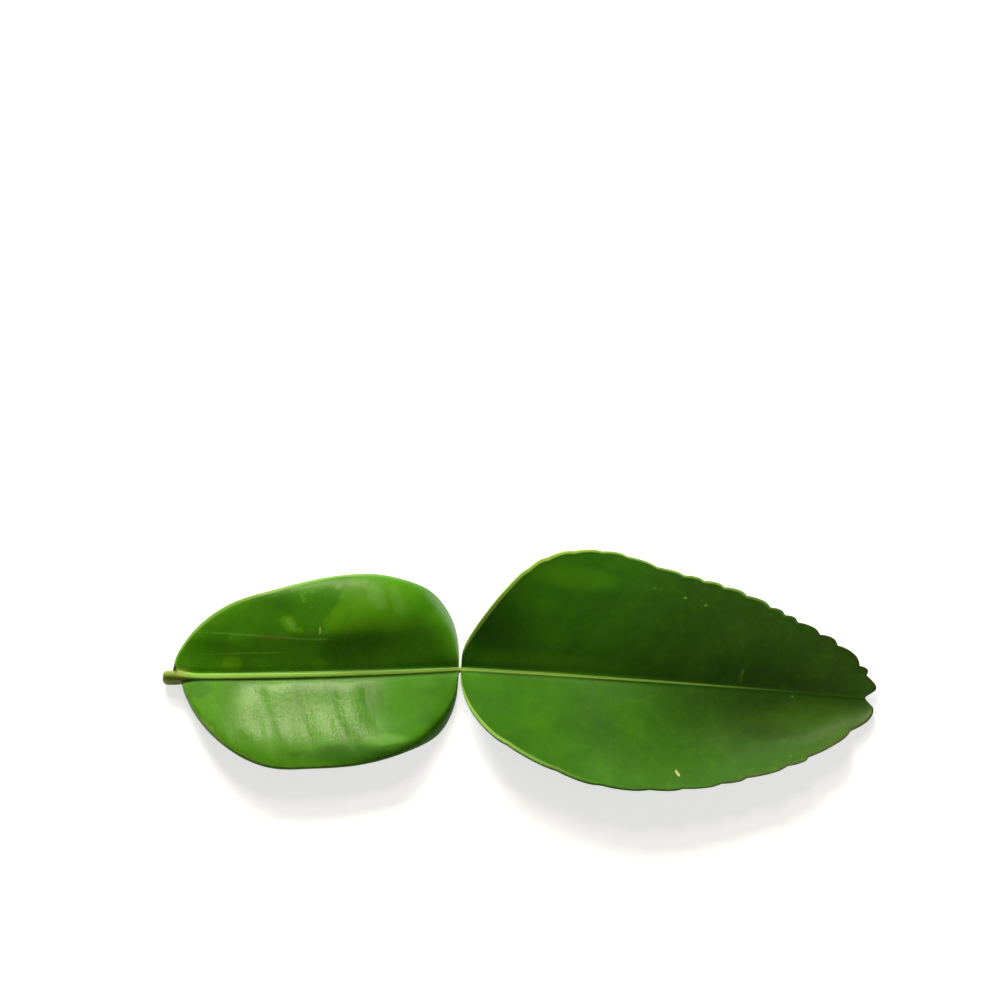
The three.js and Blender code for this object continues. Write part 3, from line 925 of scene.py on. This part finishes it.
def upper_skin(colours):
    """The glossy upper side: cloudy greens, pale midrib and rim, faint veins and a few scars, with painted
    sheen, shade and light.
    """
    r = Skin("leaf_upper_skin")
    clouds = r.noise(r.place, *CLOUDS)
    mottle = r.noise(r.place, *MOTTLE)
    glands = r.glands()
    slanted = r.along + r.across * BAND_SLANT
    bands = r.noise(r.point(slanted, r.across * 0.1), *BANDS)
    streaks = r.noise(r.point(slanted, r.across * 0.15), *STREAKS) * (1.0 - r.on_blade)
    glossy = r.zone(*GLOSSY)

    green = cloudy_green(r, colours, clouds, mottle)
    # Painted sheen: pale bands of colour over the wing's glossy part.
    green = r.blend((bands - 0.48) * glossy * 2.0, green, rgba(colours.specks_and_sheen))
    green = faint_veins(r, green, colours, clouds, glands)
    green = marks_of_growth(r, green, colours, mottle)
    green = edge_colours(r, green, colours, mottle)

    rib_width = (1.0 - r.along / TIP) ** RIB_COLOUR_TAPER * RIB_COLOUR_WIDTH + RIB_COLOUR_AT_TIP
    # Painted shadow in the groove along the near side of the midrib.
    rib_shadow = (abs(r.across + rib_width + RIB_SHADE_OFFSET) / RIB_SHADE_HALF_WIDTH).step(1.0, 0.3)
    green = r.blend(rib_shadow * 0.5, green, rgba(colours.deep))
    rib = (r.distance / rib_width).step(1.2, 0.7) * (r.along.step(*MIDRIB_SHOWS) * 0.85 + 0.1)
    green = r.blend(rib, green, rgba(colours.midrib))
    green = r.stalk(green, colours)

    blade_base = r.on_blade * r.along.step(*DULL_BASE)
    dull = 0.2 - glossy * (0.34 - bands * 0.12) - r.on_blade * 0.14 + blade_base * 0.26
    roughness = 0.26 + clouds * 0.06 + mottle * 0.06 + rib * 0.1 + r.across.step(*NEAR_GLOSS) * dull
    height = r.veinlets().step(0.0, 0.12) * 0.25 + glands.step(0.1, 0.3) * 0.3
    height = height + r.noise(r.place, *GRAIN) * 0.25 + r.noise(r.place, *DIMPLES) * 0.5 + streaks * 2.0
    normal = r.bump(height, *UPPER_BUMP)
    return r.finish(base_color=green, roughness=roughness, normal=normal, ior=1.45, specular_ior_level=0.4)


def lower_skin(colours):
    """The matte, paler lower side, with its veins standing out."""
    r = Skin("leaf_lower_skin")
    clouds = r.noise(r.place, *CLOUDS_BELOW)
    mottle = r.noise(r.place, *MOTTLE_BELOW)
    green = r.blend((clouds - 0.3) * 0.8, rgba(colours.under), rgba(colours.under_deep))
    green = r.blend((mottle - 0.5) * 0.6, green, rgba(colours.under_pale))
    vein = abs(r.phase - r.phase.math("ROUND")).step(0.06, 0.02) * r.distance.step(0.4, 1.5)
    veinlets = r.veinlets().step(0.1, 0.02)
    green = r.blend(vein * 0.6, green, rgba(colours.under_pale))
    green = r.blend(veinlets * 0.25, green, rgba(colours.under_pale))
    rib_width = RIB_BELOW_WIDTH - r.along * RIB_BELOW_TAPER
    rib = (r.distance / rib_width).step(1.2, 0.8)
    green = r.blend(rib, green, rgba(colours.under_pale))
    green = r.blend(rib * 0.35, green, rgba(colours.midrib))
    green = r.stalk(green, colours)
    height = vein * 0.8 + veinlets * 0.5 + r.glands().step(0.3, 0.1) * 0.3 + mottle * 0.3
    normal = r.bump(height, *LOWER_BUMP)
    return r.finish(base_color=green, roughness=0.55 + mottle * 0.15, normal=normal, ior=1.42)


def cut_end(colours):
    """The cut across the stalk: dry fibres, brown and pale."""
    r = Recipe(bpy.data.materials.new("leaf_cut_end"))
    place = r.position()
    fibres = r.noise(place, *FIBRES)
    clouds = r.noise(place, *CUT_CLOUDS)
    brown = r.blend(fibres, rgba(colours.scar_brown), rgba(colours.stalk))
    colour = r.blend(clouds.step(0.45, 0.62) * 0.6, brown, rgba(colours.scar_pale))
    normal = r.bump(fibres, *CUT_BUMP)
    return r.finish(base_color=colour, roughness=0.7 + fibres * 0.15, normal=normal)


# ---- settings a user would change ----


def size_setting(name, description, size):
    """A length setting, given in millimetres."""
    return FloatProperty(name=name, description=description, default=size * MM, unit="LENGTH", precision=5)


def angle_setting(name, description, degrees):
    """An angle setting, given in degrees."""
    return FloatProperty(name=name, description=description, default=math.radians(degrees), subtype="ANGLE")


def power_setting(name, description, watts):
    """The power of a light."""
    return FloatProperty(name=name, description=description, default=watts, unit="POWER", min=0.0)


def colour_setting(name, description, default):
    """A colour setting."""
    return FloatVectorProperty(
        name=name, description=description, default=default, subtype="COLOR", size=3, min=0.0, max=1.0,
    )


class LeafShape(bpy.types.PropertyGroup):
    """Sizes of the leaf."""

    length: FloatProperty(
        name="Length", description="Leaf from the cut end to its tip", default=LEAF_LENGTH, unit="LENGTH",
    )
    thickness: size_setting("Thickness", "Thickness of the lamina", 0.35)
    midrib_width: size_setting("Midrib width", "Width of the midrib on the wing", 1.25)
    tooth_depth: size_setting("Tooth depth", "Depth of the scallops at the tip", 0.92)
    vein_pitch: size_setting("Vein spacing", "Distance between side veins", 7.0)
    vein_relief: size_setting("Vein relief", "How far the lamina puffs up between side veins", 0.12)


class LeafColours(bpy.types.PropertyGroup):
    """Colours of the leaf."""

    wing: colour_setting("Wing", "Upper side of the winged stalk", (0.058, 0.235, 0.002))
    blade: colour_setting("Blade", "Upper side of the blade's near half", (0.038, 0.165, 0.002))
    # Its slightly darker green is painted shade.
    blade_far_shaded: colour_setting("Blade, far half", "Upper side of the blade's far half", (0.032, 0.160, 0.002))
    # Its darker, greyer green is painted shade and a painted grey sheen.
    tip: colour_setting("Tip", "Upper side of the blade toward its tip", (0.038, 0.098, 0.010))
    # Also painted shade: under the fold, beside the midrib and along the wing's near edge.
    deep: colour_setting("Deep green", "Darker clouds", (0.022, 0.100, 0.002))
    # Colour of the painted shade on the blade.
    painted_shade_green: colour_setting("Dark green", "Darkest part of the blade", (0.008, 0.030, 0.002))
    # Also the painted light beyond the crease, on the wing's near half and in some marks.
    fresh: colour_setting("Fresh green", "Lighter clouds and spots", (0.110, 0.340, 0.002))
    vein: colour_setting("Veins", "Side veins and gland dots", (0.140, 0.300, 0.040))
    midrib: colour_setting("Midrib", "Midrib", (0.280, 0.530, 0.065))
    # Also a painted highlight along the wing's near margin.
    rim: colour_setting("Rim", "Raised rim at the blade's base", (0.240, 0.460, 0.075))
    # A painted highlight over the pale rim.
    far_rim_highlight: colour_setting("Far rim", "Rim of the blade's far half", (0.520, 0.860, 0.130))
    stalk: colour_setting("Stalk", "Cut stalk end", (0.260, 0.360, 0.050))
    # Also the colour of the painted sheen and of some painted highlights.
    specks_and_sheen: colour_setting("Spots", "Pale specks and the line of the fold", (0.160, 0.400, 0.050))
    edge_brown: colour_setting("Brown edge", "Edge of the teeth at the tip", (0.060, 0.050, 0.015))
    scar_pale: colour_setting("Pale scar", "Dry pale marks", (0.480, 0.500, 0.200))
    scar_brown: colour_setting("Brown scar", "Brown marks", (0.180, 0.120, 0.030))
    under: colour_setting("Lower side", "Lower side", (0.150, 0.290, 0.050))
    under_deep: colour_setting("Lower side, deep", "Darker clouds below", (0.100, 0.220, 0.035))
    under_pale: colour_setting("Lower side, pale", "Veins below", (0.240, 0.390, 0.090))


class StageSettings(bpy.types.PropertyGroup):
    """Camera, lights and surroundings."""

    lens: FloatProperty(name="Lens", description="Focal length in millimetres", default=85.0, unit="CAMERA")
    elevation: angle_setting("Camera height", "Angle of the camera above the floor", 56)
    azimuth: angle_setting("Camera turn", "Angle of the camera around the leaf", 2)
    distance: FloatProperty(
        name="Camera distance", description="Distance to the aim", default=0.452, unit="LENGTH",
    )
    key_power: power_setting("Key light", "Power of the low softbox in watts", 13.3)
    window_power: power_setting("Window light", "Power of the high softbox in watts", 1.65)
    front_power: power_setting("Front light", "Power of the side softbox in watts", 0.9)
    fill: FloatProperty(
        name="Fill", description="Brightness of the surroundings", default=0.04,
        subtype="FACTOR", min=0.0, max=1.0,
    )


# ---- the leaf ----


class LEAF_OT_add_leaf(bpy.types.Operator):
    """Add the leaf as one closed mesh with its three finishes"""

    bl_idname = "leaf.add_leaf"
    bl_label = "Add leaf"
    bl_options = {"REGISTER", "UNDO"}

    def execute(self, context):
        colours = context.scene.leaf_colours
        points, faces, finishes, marks = build_leaf_mesh(context.scene.leaf_shape)
        mesh = bpy.data.meshes.new("lime_leaf")
        mesh.from_pydata(points.tolist(), [], faces)
        if mesh.validate():
            raise RuntimeError("the leaf's mesh had faults")
        mesh.shade_smooth()
        mesh.polygons.foreach_set("material_index", finishes)
        for name, values in marks.items():
            mesh.attributes.new(name, "FLOAT", "POINT").data.foreach_set("value", values)
        for material in (upper_skin(colours), lower_skin(colours), cut_end(colours)):
            mesh.materials.append(material)
        leaf = bpy.data.objects.new("lime_leaf", mesh)
        context.scene.collection.objects.link(leaf)
        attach(leaf, "root")
        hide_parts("leaf")
        return {"FINISHED"}


# ---- the stage ----

DAYLIGHT = (1.0, 0.95, 0.86)
WARM_WINDOW = (1.0, 0.86, 0.68)

FLOOR_HALF = 4.0
FLOOR_GREY = (0.7, 0.7, 0.7, 1.0)
FLOOR_GLOW = 0.68  # near the leaf; 1 where the lamps have faded out
FLOOR_FADES = (0.2, 0.9)  # metres from the middle of the floor
LOW_SKY = 0.25  # height of a direction up to which it mirrors as white

SENSOR_WIDTH = 36.0
CAMERA_AIM = (-4.97, 39.29, 0.0)  # millimetres from the middle of the leaf


@dataclass(frozen=True)
class Softbox:
    """An area light: width and height, direction in degrees and distance from the leaf."""

    name: str
    width: float
    height: float
    azimuth: float
    elevation: float
    distance: float
    colour: tuple = DAYLIGHT
    mirrored: bool = False  # whether the glossy skin shows it


KEY = Softbox("key", 0.5, 0.22, 196, 22, 0.8)
WINDOW = Softbox("window", 0.17, 0.2, 192, 42, 0.8, WARM_WINDOW, mirrored=True)
FRONT = Softbox("front", 0.8, 0.6, 50, 50, 1.0)


def direction(azimuth, elevation):
    """The way out from the leaf: azimuth 0 is the near side."""
    level = math.cos(elevation)
    return Vector((math.sin(azimuth) * level, -math.cos(azimuth) * level, math.sin(elevation)))


def white_floor():
    """A floor that keeps the leaf's shadow, and turns white where the lamps fade out."""
    r = Recipe(bpy.data.materials.new("floor_white"))
    seen = r.ray("Is Camera Ray") + r.ray("Is Glossy Ray") + r.ray("Is Transmission Ray")
    distance = r.value("ShaderNodeVectorMath", {"operation": "LENGTH"}, {0: r.position()}, output="Value")
    glow = distance.step(*FLOOR_FADES) * (1 - FLOOR_GLOW) + FLOOR_GLOW
    return r.finish(
        base_color=FLOOR_GREY, roughness=0.9, specular_ior_level=0.0,
        emission_color=r.blend(seen.math("MINIMUM", 1.0) * glow, BLACK, WHITE), emission_strength=1.0,
    )


def white_surroundings(fill):
    """White to look at and in low mirror images; elsewhere only as bright as the fill light."""
    r = Recipe(bpy.data.worlds.new("surroundings"))
    way = r.node("ShaderNodeTexCoord").outputs["Generated"]
    height = r.value("ShaderNodeSeparateXYZ", inputs={0: way}, output="Z")
    mirrored = r.ray("Is Glossy Ray") * height.step(LOW_SKY, 0)
    seen = r.ray("Is Camera Ray") + r.ray("Is Transmission Ray") + mirrored
    strength = seen.math("MINIMUM", 1.0) * (1 - fill) + fill
    background = r.node("ShaderNodeBackground", inputs={"Color": WHITE, "Strength": strength})
    r.node("ShaderNodeOutputWorld", inputs={"Surface": background.outputs[0]})
    return r.owner


class LEAF_OT_add_stage(bpy.types.Operator):
    """Add the pale floor, the soft lights, the white surroundings and the camera"""

    bl_idname = "leaf.add_stage"
    bl_label = "Add stage"
    bl_options = {"REGISTER", "UNDO"}

    def execute(self, context):
        settings = context.scene.leaf_stage
        middle = (CAD_BOX[0] + CAD_BOX[1]) / 2
        ground = Vector((middle.x, middle.y, CAD_BOX[0].z))
        self.add_floor(context, ground)
        self.add_softbox(context, KEY, settings.key_power, ground)
        self.add_softbox(context, WINDOW, settings.window_power, ground)
        self.add_softbox(context, FRONT, settings.front_power, ground)
        context.scene.world = white_surroundings(settings.fill)
        self.add_camera(context, settings, ground)
        context.scene.view_settings.view_transform = "Standard"
        return {"FINISHED"}

    def add_floor(self, context, ground):
        mesh = bpy.data.meshes.new("floor")
        corners = [(x * FLOOR_HALF, y * FLOOR_HALF, 0) for x, y in ((-1, -1), (1, -1), (1, 1), (-1, 1))]
        mesh.from_pydata(corners, [], [(0, 1, 2, 3)])
        mesh.materials.append(white_floor())
        floor = bpy.data.objects.new("floor", mesh)
        floor.location = ground
        context.scene.collection.objects.link(floor)

    def add_softbox(self, context, box, power, ground):
        data = bpy.data.lights.new(box.name, "AREA")
        data.shape = "RECTANGLE"
        data.size, data.size_y = box.width, box.height
        data.energy = power
        data.color = box.colour
        light = bpy.data.objects.new(box.name, data)
        away = direction(math.radians(box.azimuth), math.radians(box.elevation))
        self.aim(light, ground, away, box.distance)
        light.visible_glossy = box.mirrored
        context.scene.collection.objects.link(light)

    def add_camera(self, context, settings, ground):
        data = bpy.data.cameras.new("camera")
        data.lens = settings.lens
        data.sensor_width = SENSOR_WIDTH
        camera = bpy.data.objects.new("camera", data)
        back = direction(settings.azimuth, settings.elevation)
        self.aim(camera, ground + Vector(CAMERA_AIM) * MM, back, settings.distance)
        context.scene.collection.objects.link(camera)
        context.scene.camera = camera

    def aim(self, thing, target, away, distance):
        """Stands a light or a camera away from a target, looking at it."""
        thing.location = target + away * distance
        thing.rotation_euler = (-away).to_track_quat("-Z", "Y").to_euler()


# ---- the add-on ----


class LEAF_PT_sidebar(bpy.types.Panel):
    """Sizes, colours, stage, and the two steps that build the scene"""

    bl_idname = "LEAF_PT_sidebar"
    bl_label = "Lime leaf"
    bl_space_type = "VIEW_3D"
    bl_region_type = "UI"
    bl_category = "Leaf"

    def draw(self, context):
        for name in GROUPS:
            group = getattr(context.scene, name)
            box = self.layout.box()
            for setting in group.__annotations__:
                box.prop(group, setting)
        self.layout.operator(LEAF_OT_add_leaf.bl_idname)
        self.layout.operator(LEAF_OT_add_stage.bl_idname)


CLASSES = (LeafShape, LeafColours, StageSettings, LEAF_OT_add_leaf, LEAF_OT_add_stage, LEAF_PT_sidebar)
GROUPS = {"leaf_shape": LeafShape, "leaf_colours": LeafColours, "leaf_stage": StageSettings}


def register():
    for cls in CLASSES:
        bpy.utils.register_class(cls)
    for name, group in GROUPS.items():
        setattr(bpy.types.Scene, name, PointerProperty(type=group))


def unregister():
    for name in GROUPS:
        delattr(bpy.types.Scene, name)
    for cls in reversed(CLASSES):
        bpy.utils.unregister_class(cls)


def main():
    register()
    bpy.ops.leaf.add_leaf()
    bpy.ops.leaf.add_stage()


if __name__ == "__main__":
    main()
